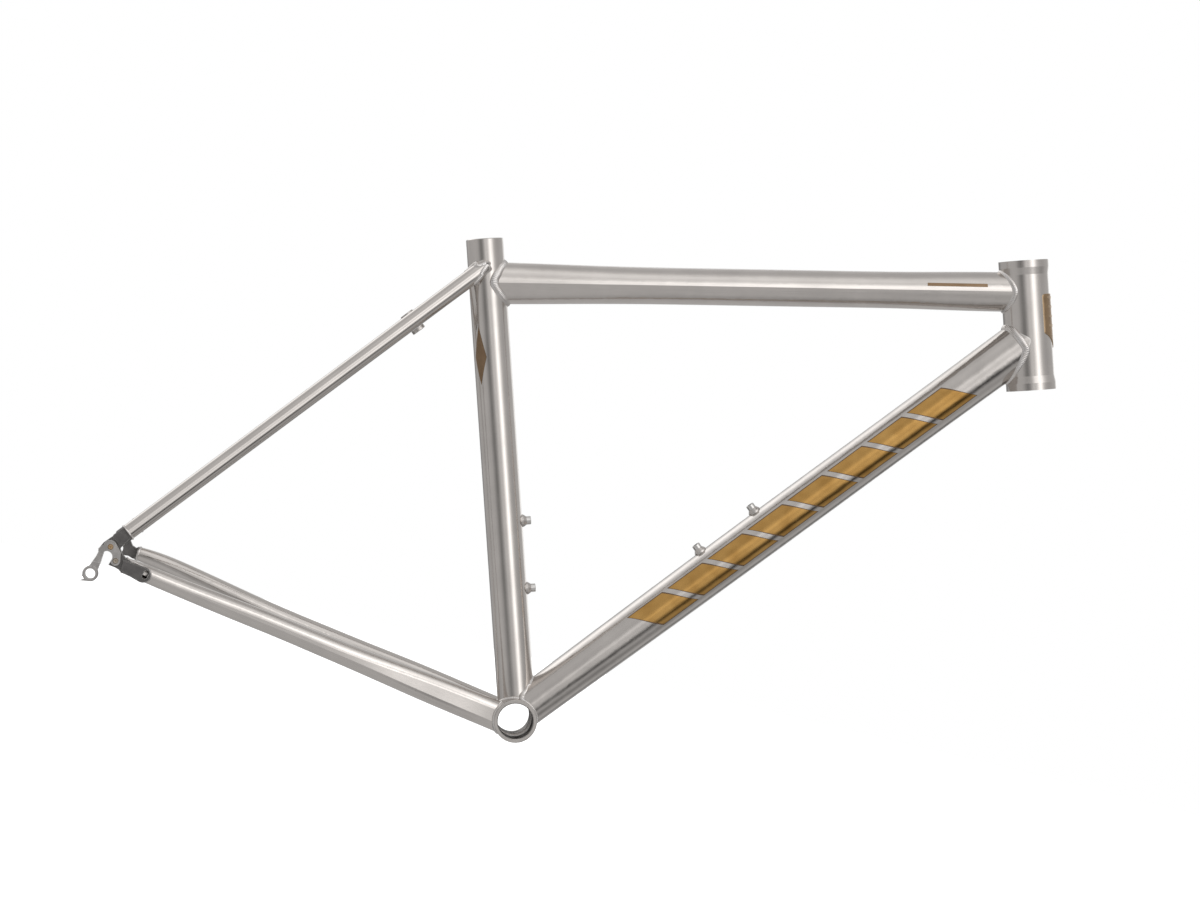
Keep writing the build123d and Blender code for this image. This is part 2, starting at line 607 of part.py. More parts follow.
def make_right_hand_dropout(outline, rear_stations, stay_start, tab):
    """A dropout for the right side: plate, stay plugs and, if tab, the cable tab and hanger holes."""
    plug, stay_cut = chainstay_plug(rear_stations, AXLE[0] + stay_start)
    with BuildPart() as dropout:
        with BuildSketch(dropout_plane(DROPOUT_INNER)):
            with BuildLine():
                Polyline(*outline, close=True)
            make_face()
            fillet(vertices(), PLATE_ROUNDING)
            cut_axle_slot(AXLE_SLOT_RADIUS)
        extrude(amount=DROPOUT_THICKNESS)
        add(seatstay_plug().part)
        add(plug.part)
        with BuildSketch(dropout_plane(DROPOUT_INNER)):
            Circle(stay_start - HUB_CLEARANCE)
        extrude(amount=-HUB_SPACE_DEPTH, mode=Mode.SUBTRACT)
        if tab:
            with BuildSketch(dropout_plane(TAB_INNER)):
                for centre, radius in TAB_CIRCLES:
                    with Locations(centre):
                        Circle(radius)
                make_hull()
                with Locations((TAB_REAR - 10, 0)):
                    Rectangle(20, 60, mode=Mode.SUBTRACT)
            extrude(amount=TAB_OUTER - TAB_INNER)
            chamfer(dropout.faces().sort_by(Axis.Y)[0].edges(), TAB_CHAMFER)
            with BuildSketch(dropout_plane(TAB_INNER)):
                with Locations(Location(CABLE_HOLE, CABLE_HOLE_TILT)):
                    SlotOverall(*CABLE_HOLE_SIZE)
            extrude(amount=TAB_OUTER - TAB_INNER + 1, mode=Mode.SUBTRACT)
            for bolt_place in HANGER_BOLTS:
                with BuildSketch(dropout_plane(DROPOUT_INNER)):
                    with Locations(bolt_place):
                        Circle(HANGER_BOLT_RADIUS + BOLT_CLEARANCE)
                extrude(amount=DROPOUT_THICKNESS, mode=Mode.SUBTRACT)
    return dropout, stay_cut


def make_hanger():
    """The bolt-on plate with the rear derailleur's threaded eye."""
    outer = DROPOUT_INNER + DROPOUT_THICKNESS + HANGER_THICKNESS
    with BuildPart() as hanger:
        with BuildSketch(dropout_plane(outer - HANGER_THICKNESS)):
            for centre, radius in HANGER_PLATE_CIRCLES:
                with Locations(centre):
                    Circle(radius)
            make_hull()
            cut_axle_slot(HANGER_SLOT_RADIUS)
            with BuildLine():
                Polyline(*HANGER_UPPER_ARM, close=True)
            make_face()
        extrude(amount=HANGER_THICKNESS)
        with BuildSketch(dropout_plane(outer - HANGER_THICKNESS - HANGER_JOGGLE)):
            with BuildLine():
                Polyline(*HANGER_LOWER_ARM, close=True)
            make_face()
        extrude(amount=HANGER_THICKNESS)
        with BuildSketch(dropout_plane(outer - HANGER_THICKNESS - HANGER_JOGGLE)):
            with BuildLine():
                Polyline(*HANGER_STOP, close=True)
            make_face()
        extrude(amount=HANGER_THICKNESS)
        with BuildSketch(dropout_plane(outer - HANGER_EYE_LENGTH)):
            with Locations(HANGER_EYE):
                Circle(HANGER_EYE_RADIUS)
        extrude(amount=HANGER_EYE_LENGTH)
        chamfer(hanger.edges().filter_by(GeomType.CIRCLE).filter_by(
            lambda edge: abs(edge.radius - HANGER_EYE_RADIUS) < 0.01).sort_by(Axis.Y)[0], RIM_CHAMFER)
        with BuildSketch(dropout_plane(outer - HANGER_EYE_LENGTH)):
            with Locations(HANGER_EYE):
                Circle(HANGER_THREAD_RADIUS)
        extrude(amount=HANGER_EYE_LENGTH, mode=Mode.SUBTRACT)
        for bolt_place in HANGER_BOLTS:
            with BuildSketch(dropout_plane(outer - HANGER_THICKNESS)):
                with Locations(bolt_place):
                    Circle(HANGER_BOLT_RADIUS + BOLT_CLEARANCE)
            extrude(amount=HANGER_THICKNESS, mode=Mode.SUBTRACT)
            with BuildSketch(dropout_plane(outer - HANGER_HEAD_HEIGHT)):
                with Locations(bolt_place):
                    Circle(HANGER_HEAD_RADIUS + BOLT_CLEARANCE)
            extrude(amount=HANGER_HEAD_HEIGHT, mode=Mode.SUBTRACT)
    return hanger


def make_hanger_bolt(place):
    """A socket-head bolt sunk into the hanger and threaded into the dropout."""
    seat = DROPOUT_INNER + DROPOUT_THICKNESS + HANGER_THICKNESS - HANGER_HEAD_HEIGHT
    head_plane = Plane(
        origin=(AXLE[0] + place[0], -seat, AXLE[1] + place[1]), x_dir=(1, 0, 0), z_dir=(0, -1, 0))
    shank = seat - DROPOUT_INNER
    return socket_bolt(
        head_plane, HANGER_BOLT_RADIUS, shank, HANGER_HEAD_RADIUS, HANGER_HEAD_HEIGHT, HANGER_SOCKET)


# --------------------------------------------------------------------- head badge
def make_head_badge():
    """A thin plain shield wrapped around the front of the head tube."""
    face = Plane(origin=on_head_tube(BADGE_CENTRE), x_dir=LATERAL, z_dir=SEAT_AHEAD)
    side = BADGE_HALF_WIDTH
    with BuildPart() as badge:
        with BuildSketch(face):
            with BuildLine():
                Polyline(
                    (-side, BADGE_CORNER),
                    (0, BADGE_TIP),
                    (side, BADGE_CORNER),
                    (side, BADGE_TOP),
                    (-side, BADGE_TOP),
                    close=True,
                )
            make_face()
            fillet(vertices(), BADGE_ROUNDING)
        extrude(amount=2 * HEAD_RADIUS)
        skin = round_bar(on_head_tube(HEAD_BOTTOM), on_head_tube(HEAD_TOP), HEAD_RADIUS + BADGE_THICKNESS)
        add(skin.part, mode=Mode.INTERSECT)
        add(head_tube_bar.part, mode=Mode.SUBTRACT)
    return badge


# -------------------------------------------------------------------- all the pieces
save(make_seat_tube(), "seat_tube")
save(make_head_tube(), "head_tube")
save(make_top_tube(), "top_tube")
save(make_down_tube(), "down_tube")
save(make_bottom_bracket_shell(), "bottom_bracket_shell")
save(make_head_badge(), "head_badge")

dropout_right, right_stay_cut = make_right_hand_dropout(
    RIGHT_PLATE_OUTLINE, RIGHT_REAR_STATIONS, RIGHT_STAY_START, tab=True)
save(dropout_right, "dropout_right")
dropout_left_as_right, left_stay_cut = make_right_hand_dropout(
    LEFT_PLATE_OUTLINE, LEFT_REAR_STATIONS, LEFT_STAY_START, tab=False)
with BuildPart() as dropout_left:
    mirror(dropout_left_as_right.part, about=Plane.XZ)
save(dropout_left, "dropout_left")

save(make_chainstay(RIGHT_REAR_STATIONS, dropout_right, right_stay_cut), "chainstay_right")
with BuildPart() as chainstay_left:
    mirror(make_chainstay(LEFT_REAR_STATIONS, dropout_left_as_right, left_stay_cut).part, about=Plane.XZ)
save(chainstay_left, "chainstay_left")

for side, side_name in ((-1, "right"), (1, "left")):
    save(make_seatstay(side), f"seatstay_{side_name}")
    save(make_brake_bridge(side), f"brake_bridge_{side_name}")
save(make_brake_boss(), "brake_boss")

save(make_hanger(), "derailleur_hanger")
for place, bolt_name in zip(HANGER_BOLTS, ("upper", "lower")):
    save(make_hanger_bolt(place), f"hanger_bolt_{bolt_name}")

tube_bars = {"seat_tube": seat_tube_bar, "down_tube": down_tube_bar}
for (owner, plane), boss_name in zip(BOSS_PLANES, ("seat_lower", "seat_upper", "down_lower", "down_upper")):
    save(bottle_boss(plane, tube_bars[owner]), f"bottle_boss_{boss_name}")
    head_plane = plane.offset(BOSS_HEIGHT)
    bottle_bolt = socket_bolt(
        head_plane, BOTTLE_BOLT_RADIUS, BOTTLE_BOLT_LENGTH, BOTTLE_HEAD_RADIUS, BOTTLE_HEAD_HEIGHT,
        BOTTLE_SOCKET)
    save(bottle_bolt, f"bottle_bolt_{boss_name}")
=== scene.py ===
"""Finish, weld beads, tube graphics, studio light and camera for a titanium bicycle frame."""
import json
import math

import bmesh
import bpy
from mathutils import Matrix, Vector
from mathutils.bvhtree import BVHTree


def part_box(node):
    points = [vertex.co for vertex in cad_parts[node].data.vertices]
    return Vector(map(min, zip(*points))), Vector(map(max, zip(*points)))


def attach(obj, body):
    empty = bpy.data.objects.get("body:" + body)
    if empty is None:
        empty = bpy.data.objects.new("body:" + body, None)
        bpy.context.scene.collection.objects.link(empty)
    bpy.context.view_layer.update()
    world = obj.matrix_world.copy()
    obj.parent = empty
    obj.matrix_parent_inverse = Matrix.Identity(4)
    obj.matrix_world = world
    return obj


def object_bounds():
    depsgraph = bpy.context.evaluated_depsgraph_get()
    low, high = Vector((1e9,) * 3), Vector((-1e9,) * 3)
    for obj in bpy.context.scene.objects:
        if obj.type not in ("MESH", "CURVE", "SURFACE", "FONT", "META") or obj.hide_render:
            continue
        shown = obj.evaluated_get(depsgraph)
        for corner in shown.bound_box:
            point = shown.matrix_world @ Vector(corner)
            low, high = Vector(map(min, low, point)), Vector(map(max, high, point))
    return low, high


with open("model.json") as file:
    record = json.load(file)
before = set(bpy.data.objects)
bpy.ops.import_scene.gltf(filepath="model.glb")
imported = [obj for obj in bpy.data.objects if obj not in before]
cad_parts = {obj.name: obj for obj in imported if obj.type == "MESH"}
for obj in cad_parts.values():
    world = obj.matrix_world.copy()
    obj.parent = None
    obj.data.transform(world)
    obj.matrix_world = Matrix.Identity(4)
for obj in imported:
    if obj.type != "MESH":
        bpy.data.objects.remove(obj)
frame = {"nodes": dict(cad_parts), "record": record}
cad_box = [list(corner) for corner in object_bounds()]

MM = 0.001
LEFT = Vector((0, 1, 0))
nodes = frame["nodes"]
mounts = {mount["name"]: mount for mount in frame["record"]["mounts"]}


# ---------------------------------------------------------------- reading the frame
def tree_of(names):
    """One search tree over the meshes of several CAD nodes."""
    points = []
    faces = []
    for name in names:
        mesh = nodes[name].data
        start = len(points)
        points += [vertex.co.copy() for vertex in mesh.vertices]
        faces += [[start + index for index in face.vertices] for face in mesh.polygons]
    return BVHTree.FromPolygons(points, faces)


def section_centre(node, point, normal):
    """The middle of the section where a plane cuts a CAD node."""
    cut = bmesh.new()
    cut.from_mesh(nodes[node].data)
    geometry = cut.verts[:] + cut.edges[:] + cut.faces[:]
    result = bmesh.ops.bisect_plane(cut, geom=geometry, plane_co=point, plane_no=normal)
    found = [part.co.copy() for part in result["geom_cut"] if isinstance(part, bmesh.types.BMVert)]
    cut.free()
    low = Vector([min(co[i] for co in found) for i in range(3)])
    high = Vector([max(co[i] for co in found) for i in range(3)])
    return (low + high) / 2


def axis_of(node, first=0.35, second=0.65):
    """A point on a tube's axis and its direction, read at two shares of its length along X."""
    low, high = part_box(node)
    centres = []
    for share in (first, second):
        x = low.x + (high.x - low.x) * share
        centres.append(section_centre(node, Vector((x, 0, 0)), Vector((1, 0, 0))))
    return centres[0], (centres[1] - centres[0]).normalized()


def mount_axis(name):
    return Vector(mounts[name]["pos_m"]), Vector(mounts[name]["axis"]).normalized()


# ------------------------------------------------------------------------ materials
class Shader:
    """A material's node tree with the few node kinds used here."""

    def __init__(self, name):
        self.material = bpy.data.materials.new(name)
        self.material.use_nodes = True
        self.tree = self.material.node_tree
        self.surface = self.tree.nodes["Principled BSDF"]
        self.place = self.tree.nodes.new("ShaderNodeTexCoord").outputs["Object"]

    def link(self, output, socket):
        self.tree.links.new(output, socket)

    def framed(self, axis, size):
        """Object coordinates turned so X runs along axis, and divided by size."""
        mapping = self.tree.nodes.new("ShaderNodeMapping")
        mapping.vector_type = "TEXTURE"
        turn = axis.to_track_quat("X", "Z").to_euler()
        mapping.inputs["Rotation"].default_value = turn
        mapping.inputs["Scale"].default_value = size
        self.link(self.place, mapping.inputs["Vector"])
        return mapping.outputs["Vector"]

    def noise(self, vector, scale, detail=2.0):
        texture = self.tree.nodes.new("ShaderNodeTexNoise")
        texture.inputs["Scale"].default_value = scale
        texture.inputs["Detail"].default_value = detail
        self.link(vector, texture.inputs["Vector"])
        return texture.outputs["Fac"]

    def remap(self, value, low, high, to_low, to_high):
        remap = self.tree.nodes.new("ShaderNodeMapRange")
        for socket, number in zip(remap.inputs[1:5], (low, high, to_low, to_high)):
            socket.default_value = number
        self.link(value, remap.inputs["Value"])
        return remap.outputs["Result"]

    def maths(self, operation, first, second):
        node = self.tree.nodes.new("ShaderNodeMath")
        node.operation = operation
        for socket, value in zip(node.inputs, (first, second)):
            if isinstance(value, float):
                socket.default_value = value
            else:
                self.link(value, socket)
        return node.outputs["Value"]

    def blend(self, factor, first, second, kind="MIX"):
        mix = self.tree.nodes.new("ShaderNodeMix")
        mix.data_type = "RGBA"
        mix.blend_type = kind
        for socket, value in ((mix.inputs[6], first), (mix.inputs[7], second)):
            if isinstance(value, tuple):
                socket.default_value = (*value, 1)
            else:
                self.link(value, socket)
        self.link(factor, mix.inputs["Factor"])
        return mix.outputs[2]

    def edges(self, radius, low=0.015, high=0.2):
        """1 along sharp edges, fading to 0 on the faces beside them."""
        bevel = self.tree.nodes.new("ShaderNodeBevel")
        bevel.samples = 6
        bevel.inputs["Radius"].default_value = radius
        geometry = self.tree.nodes.new("ShaderNodeNewGeometry")
        dot = self.tree.nodes.new("ShaderNodeVectorMath")
        dot.operation = "DOT_PRODUCT"
        self.link(bevel.outputs["Normal"], dot.inputs[0])
        self.link(geometry.outputs["Normal"], dot.inputs[1])
        return self.remap(self.maths("SUBTRACT", 1.0, dot.outputs["Value"]), low, high, 0, 1)

    def bump(self, height, distance, strength=1.0):
        bump = self.tree.nodes.new("ShaderNodeBump")
        bump.inputs["Distance"].default_value = distance
        bump.inputs["Strength"].default_value = strength
        self.link(height, bump.inputs["Height"])
        self.link(bump.outputs["Normal"], self.surface.inputs["Normal"])


def tint(colour, factor):
    return tuple(channel * factor for channel in colour)


TITANIUM = (0.645, 0.607, 0.577)


def brushed(name, axis, colour=TITANIUM, roughness=(0.10, 0.18)):
    """Metal brushed along axis: fine lengthwise grain, handling marks and brighter edges."""
    shader = Shader(name)
    grain = shader.noise(shader.framed(axis, (0.045, 0.00045, 0.00045)), 1.0, 3.0)
    clouds = shader.noise(shader.place, 38.0, 3.0)
    marks = shader.noise(shader.framed(axis, (0.018, 0.004, 0.004)), 1.0, 4.0)
    base = shader.blend(shader.remap(clouds, 0.3, 0.7, 0, 1), tint(colour, 0.95), tint(colour, 1.04))
    base = shader.blend(shader.remap(grain, 0.35, 0.65, 0.0, 0.14), base, tint(colour, 0.75))
    rough = shader.remap(grain, 0.3, 0.7, *roughness)
    smudge = shader.remap(marks, 0.45, 0.75, 0.0, 0.07)
    rough = shader.maths("ADD", rough, smudge)
    base = shader.blend(shader.edges(0.0008), base, (0.78, 0.75, 0.72))
    shader.link(base, shader.surface.inputs["Base Color"])
    shader.link(rough, shader.surface.inputs["Roughness"])
    shader.surface.inputs["Metallic"].default_value = 1.0
    shader.bump(grain, 0.000012, 0.6)
    return shader.material


def turned(name, axis, colour=TITANIUM, ring=0.0007, roughness=(0.2, 0.34)):
    """Metal turned on a lathe: fine rings across axis."""
    shader = Shader(name)
    rings = shader.noise(shader.framed(axis, (ring, 0.03, 0.03)), 1.0, 2.0)
    clouds = shader.noise(shader.place, 70.0, 3.0)
    base = shader.blend(shader.remap(clouds, 0.3, 0.7, 0, 1), tint(colour, 0.86), tint(colour, 1.05))
    base = shader.blend(shader.remap(rings, 0.35, 0.65, 0.0, 0.25), base, tint(colour, 0.6))
    base = shader.blend(shader.edges(0.0006), base, (0.80, 0.77, 0.74))
    shader.link(base, shader.surface.inputs["Base Color"])
    shader.link(shader.remap(rings, 0.3, 0.7, *roughness), shader.surface.inputs["Roughness"])
    shader.surface.inputs["Metallic"].default_value = 1.0
    shader.bump(rings, 0.00003, 0.7)
    return shader.material


def blasted(name, colour, metallic, roughness, edge, bright_edges=0.0008):
    """Bead-blasted metal: a fine even pitting, with bright edges where it is handled."""
    shader = Shader(name)
    pits = shader.noise(shader.place, 2600.0, 2.0)
    clouds = shader.noise(shader.place, 120.0, 4.0)
    base = shader.blend(shader.remap(clouds, 0.3, 0.7, 0, 1), tint(colour, 0.82), tint(colour, 1.18))
    base = shader.blend(shader.remap(pits, 0.4, 0.6, 0.0, 0.3), base, tint(colour, 0.6))
    base = shader.blend(shader.edges(bright_edges), base, edge)
    shader.link(base, shader.surface.inputs["Base Color"])
    shader.link(shader.remap(clouds, 0.3, 0.7, *roughness), shader.surface.inputs["Roughness"])
    shader.surface.inputs["Metallic"].default_value = metallic
    shader.bump(pits, 0.00005, 0.6)
    return shader.material


def weld_metal(name):
    """Bright weld metal with faint heat colour and smooth frozen ripples."""
    shader = Shader(name)
    clouds = shader.noise(shader.place, 160.0, 3.0)
    fine = shader.noise(shader.place, 900.0, 2.0)
    base = shader.blend(shader.remap(clouds, 0.3, 0.7, 0, 1), (0.66, 0.62, 0.59), (0.76, 0.735, 0.72))
    base = shader.blend(shader.remap(fine, 0.55, 0.8, 0.0, 0.35), base, (0.50, 0.44, 0.40))
    shader.link(base, shader.surface.inputs["Base Color"])
    shader.link(shader.remap(clouds, 0.3, 0.7, 0.17, 0.32), shader.surface.inputs["Roughness"])
    shader.surface.inputs["Metallic"].default_value = 1.0
    shader.bump(fine, 0.00006, 0.4)
    return shader.material


def printed(name, axis, light, dark, metallic, roughness):
    """A thin metallic print: flakes in the colour, with the tube's grain showing through."""
    shader = Shader(name)
    flakes = shader.noise(shader.place, 3200.0, 1.0)
    clouds = shader.noise(shader.place, 55.0, 3.0)
    grain = shader.noise(shader.framed(axis, (0.03, 0.0006, 0.0006)), 1.0, 2.0)
    base = shader.blend(shader.remap(clouds, 0.3, 0.7, 0, 1), light, dark)
    base = shader.blend(shader.remap(flakes, 0.55, 0.75, 0.0, 0.15), base, tint(light, 1.3))
    shader.link(base, shader.surface.inputs["Base Color"])
    shader.link(shader.remap(grain, 0.3, 0.7, *roughness), shader.surface.inputs["Roughness"])
    shader.surface.inputs["Metallic"].default_value = metallic
    shader.bump(grain, 0.00001, 0.5)
    return shader.material


def cover(node, material):
    """Give every material slot of a CAD node one material."""
    piece = nodes[node]
    if not piece.material_slots:
        piece.data.materials.append(material)
    for place in piece.material_slots:
        place.link = "OBJECT"
        place.material = material


# --------------------------------------------------------------------- tube finishes
seat_point, seat_up = mount_axis("seatpost")
head_point, head_up = mount_axis("headset_upper")
top_point, top_along = axis_of("top_tube")
down_point, down_along = axis_of("down_tube")

cover("seat_tube", brushed("brushed_seat_tube", seat_up))
cover("head_tube", brushed("brushed_head_tube", head_up))
cover("top_tube", brushed("brushed_top_tube", top_along))
cover("down_tube", brushed("brushed_down_tube", down_along))
for stay in ("seatstay_right", "seatstay_left", "chainstay_right", "chainstay_left"):
    cover(stay, brushed("brushed_" + stay, axis_of(stay)[1]))

cross_brushed = brushed("brushed_bridge", LEFT)
cover("brake_bridge_right", cross_brushed)
cover("brake_bridge_left", cross_brushed)
cover("brake_boss", turned("turned_brake_boss", mount_axis("rear_brake")[1]))
cover("bottom_bracket_shell", turned("turned_shell", LEFT, tint(TITANIUM, 0.9)))
for name in ("seat_lower", "seat_upper", "down_lower", "down_upper"):
    boss_axis = mount_axis("bottle_cage_" + name)[1]
    cover("bottle_boss_" + name, turned("turned_boss_" + name, boss_axis))
    bolt_steel = turned("turned_bolt_" + name, boss_axis, (0.74, 0.72, 0.70), 0.0003, (0.08, 0.16))
    cover("bottle_bolt_" + name, bolt_steel)

dropout_metal = blasted(
    "blasted_dropout", (0.16, 0.152, 0.148), 0.85, (0.42, 0.55), (0.62, 0.60, 0.58))
cover("dropout_right", dropout_metal)
cover("dropout_left", dropout_metal)
hanger_metal = blasted(
    "machined_hanger", (0.47, 0.45, 0.435), 1.0, (0.24, 0.36), (0.85, 0.83, 0.81))
cover("derailleur_hanger", hanger_metal)
upper_bolt_metal = blasted("bronze_bolt", (0.45, 0.30, 0.17), 1.0, (0.25, 0.38), (0.75, 0.58, 0.38))
cover("hanger_bolt_upper", upper_bolt_metal)
lower_bolt_metal = blasted("steel_bolt", (0.40, 0.33, 0.26), 1.0, (0.25, 0.38), (0.75, 0.70, 0.62))
cover("hanger_bolt_lower", lower_bolt_metal)
badge_metal = blasted("bronze_badge", (0.40, 0.275, 0.165), 1.0, (0.28, 0.40), (0.62, 0.47, 0.31))
cover("head_badge", badge_metal)
rib_bronze = blasted("light_bronze", (0.56, 0.42, 0.28), 1.0, (0.25, 0.36), (0.72, 0.58, 0.42))


# ------------------------------------------------------------------------ new pieces
def add_piece(name, points, faces, material):
    mesh = bpy.data.meshes.new(name)
    mesh.from_pydata([tuple(point) for point in points], [], faces)
    shape = bmesh.new()
    shape.from_mesh(mesh)
    bmesh.ops.recalc_face_normals(shape, faces=shape.faces)
    shape.to_mesh(mesh)
    shape.free()
    for face in mesh.polygons:
        face.use_smooth = True
    piece = bpy.data.objects.new(name, mesh)
    bpy.context.scene.collection.objects.link(piece)
    mesh.materials.append(material)
    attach(piece, "root")
    return piece


SKIN_REACH = 45 * MM             # from inside a tube to well outside its skin
LONGEST_STRIDE = 1 * MM
SHORTEST_STRIDE = 0.04 * MM
SAME_SKIN_TURN = 0.965           # cosine between two normals on one unbroken skin
SAME_SKIN_STEP = 0.4 * MM


def rim(node, inside, direction, count=128, reach=0.09):
    """Where a tube's outer skin ends: points around the tube, and the skin's normal at each."""
    skin = tree_of([node])
    across = direction.cross(LEFT)
    if across.length < 0.5:
        across = direction.cross(Vector((0, 0, 1)))
    across.normalize()
    beside = direction.cross(across).normalized()
    points = []
    normals = []
    for step in range(count):
        angle = 2 * math.pi * step / count
        outward = across * math.cos(angle) + beside * math.sin(angle)

        def touch(along):
            start = inside + direction * along + outward * SKIN_REACH
            return skin.ray_cast(start, -outward, SKIN_REACH)[:2]

        point, normal = touch(0.0)
        good = 0.0
        stride = LONGEST_STRIDE
        along = stride
        while stride > SHORTEST_STRIDE and along < reach:
            next_point, next_normal = touch(along)
            if next_point is not None and next_normal.dot(normal) > SAME_SKIN_TURN \
                    and abs((next_point - point).dot(outward)) < SAME_SKIN_STEP:
                point, normal, good = next_point, next_normal, along
            else:
                stride /= 2
            along = good + stride
        points.append(point)
        normals.append(normal)
    return points, normals


def smoothed(values, rounds=2):
    """A closed run of vectors with small jumps evened out."""
    for _ in range(rounds):
        count = len(values)
        values = [
            (values[i - 1] + values[i] * 2 + values[(i + 1) % count]) / 4 for i in range(count)]
    return values


def kept_inside(point):
    """The same point, moved into the CAD model's box if it is outside."""
    return Vector([min(max(value, low), high) for value, low, high in zip(point, *cad_box)])


RINGS_PER_RIPPLE = 5
RING_SIZE = 12
RIPPLE_CURVE = 0.42              # how far a ripple's edges lag behind its middle
SLOW_WANDER = (0.05, 9)          # share of the width, and half turns round the bead
QUICK_WANDER = (0.04, 26)


def bead(name, node, inside, direction, neighbours, width=2.6, height=1.5, pitch=1.5, ripple=0.07,
         rounding=24):
    """A weld bead along the end of a tube, with curved ripples that follow one another.

    Width, height and pitch are in millimetres. Rounding is how many times the path is evened out.
    """
    points, skin_normals = rim(node, inside, direction)
    joint = tree_of([node] + neighbours)
    points = smoothed([joint.find_nearest(point)[0] for point in smoothed(points, rounding)])
    other = tree_of(neighbours)
    normals = []
    for point, normal in zip(points, skin_normals):
        nearest = other.find_nearest(point)[1]
        normals.append((normal + nearest).normalized())
    normals = [normal.normalized() for normal in smoothed(normals, 3)]
    lengths = [(points[(i + 1) % len(points)] - points[i]).length for i in range(len(points))]
    total = sum(lengths)
    ripples = max(8, round(total / (pitch * MM)))
    rings = ripples * RINGS_PER_RIPPLE
    mesh_points = []
    passed = 0.0
    index = 0
    for ring in range(rings):
        target = total * ring / rings
        while passed + lengths[index] < target and index < len(points) - 1:
            passed += lengths[index]
            index += 1
        share = (target - passed) / lengths[index]
        after = (index + 1) % len(points)
        centre = points[index].lerp(points[after], share)
        up = normals[index].lerp(normals[after], share).normalized()
        forward = (points[after] - points[index - 1]).normalized()
        side = up.cross(forward).normalized()
        wander = 1
        for amount, half_turns in (SLOW_WANDER, QUICK_WANDER):
            wander += amount * math.sin(half_turns * math.pi * ring / rings)
        for corner in range(RING_SIZE):
            angle = 2 * math.pi * corner / RING_SIZE
            lateral = math.cos(angle)
            phase = 2 * math.pi * (ripples * ring / rings + RIPPLE_CURVE * lateral ** 2)
            swell = 1 + ripple * math.sin(phase)
            offset = side * (lateral * width * wander) + up * (math.sin(angle) * height * swell)
            mesh_points.append(kept_inside(centre + offset * MM))
    faces = []
    for ring in range(rings):
        following = (ring + 1) % rings
        for corner in range(RING_SIZE):
            beyond = (corner + 1) % RING_SIZE
            faces.append((
                ring * RING_SIZE + corner, ring * RING_SIZE + beyond,
                following * RING_SIZE + beyond, following * RING_SIZE + corner))
    return add_piece(name, mesh_points, faces, bead_metal)


bead_metal = weld_metal("weld_metal")


def back_from_end(node, share, forward=True):
    """A place on a tube's axis and the direction of its end: share is along X from low to high."""
    low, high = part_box(node)
    centres = []
    for place in (share, share + (0.06 if forward else -0.06)):
        x = low.x + (high.x - low.x) * place
        centres.append(section_centre(node, Vector((x, 0, 0)), Vector((1, 0, 0))))
    return centres[0], (centres[1] - centres[0]).normalized()


bead("weld_top_to_head", "top_tube", *back_from_end("top_tube", 0.86), ["head_tube"], 3.1, 1.8)
bead("weld_top_to_seat", "top_tube", *back_from_end("top_tube", 0.14, False), ["seat_tube"], 4.2, 2.5)
bead("weld_down_to_head", "down_tube", *back_from_end("down_tube", 0.84), ["head_tube"], 4.0, 2.0,
     rounding=10)
bead("weld_down_to_shell", "down_tube", *back_from_end("down_tube", 0.14, False),
     ["bottom_bracket_shell", "seat_tube"], 2.8, 1.7)
bead("weld_seat_to_shell", "seat_tube", seat_up * 0.075, -seat_up,
     ["bottom_bracket_shell", "down_tube"], 2.6, 1.6)
for hand in ("right", "left"):
    seatstay, chainstay, dropout = f"seatstay_{hand}", f"chainstay_{hand}", f"dropout_{hand}"
    bead(f"weld_{seatstay}", seatstay, *back_from_end(seatstay, 0.86), ["seat_tube"], 2.4, 1.6, 1.3)
    bead(f"weld_seatstay_end_{hand}", seatstay, *back_from_end(seatstay, 0.12, False), [dropout],
         1.2, 0.7, 1.1, 0.07, 2)
    bead(f"weld_{chainstay}", chainstay, *back_from_end(chainstay, 0.84),
         ["bottom_bracket_shell", "seat_tube"], 2.4, 1.6, 1.3)
    bead(f"weld_chainstay_end_{hand}", chainstay, *back_from_end(chainstay, 0.12, False), [dropout],
         1.2, 0.7, 1.1, 0.07, 2)


# ------------------------------------------------------------------ graphics on tubes
PATCH_REACH = 50 * MM            # from a tube's axis to well outside its skin


def wrap(name, node, origin, along, above, side, corners, material, low, lift):
    """A thin patch on a tube.

    Corners are (distance along, angle above the side), in order around it. Low and lift are how
    far its edge and the rest of it stand off the tube, in millimetres.
    """
    skin = tree_of([node])
    columns, rows = 16, 20
    grid = []
    for row in range(rows + 1):
        v = row / rows
        for column in range(columns + 1):
            u = column / columns
            near = [a + (b - a) * u for a, b in zip(corners[0], corners[1])]
            far = [a + (b - a) * u for a, b in zip(corners[3], corners[2])]
            distance, angle = [a + (b - a) * v for a, b in zip(near, far)]
            turned_by = math.radians(angle)
            outward = LEFT * side * math.cos(turned_by) + above * math.sin(turned_by)
            start = origin + along * (distance * MM) + outward * PATCH_REACH
            point, normal = skin.ray_cast(start, -outward, PATCH_REACH)[:2]
            on_rim = row in (0, rows) or column in (0, columns)
            grid.append(point + normal * ((low if on_rim else lift) * MM))
    faces = []
    for row in range(rows):
        for column in range(columns):
            corner = row * (columns + 1) + column
            faces.append((corner, corner + 1, corner + columns + 2, corner + columns + 1))
    return add_piece(name, grid, faces, material)


gold = printed("gold_print", down_along, (0.66, 0.385, 0.125), (0.50, 0.275, 0.08), 1.0, (0.12, 0.20))
brown = printed("brown_print", down_along, (0.20, 0.125, 0.08), (0.16, 0.10, 0.06), 0.6, (0.35, 0.45))
umber = printed("umber_print", seat_up, (0.30, 0.20, 0.12), (0.24, 0.155, 0.09), 0.7, (0.35, 0.45))


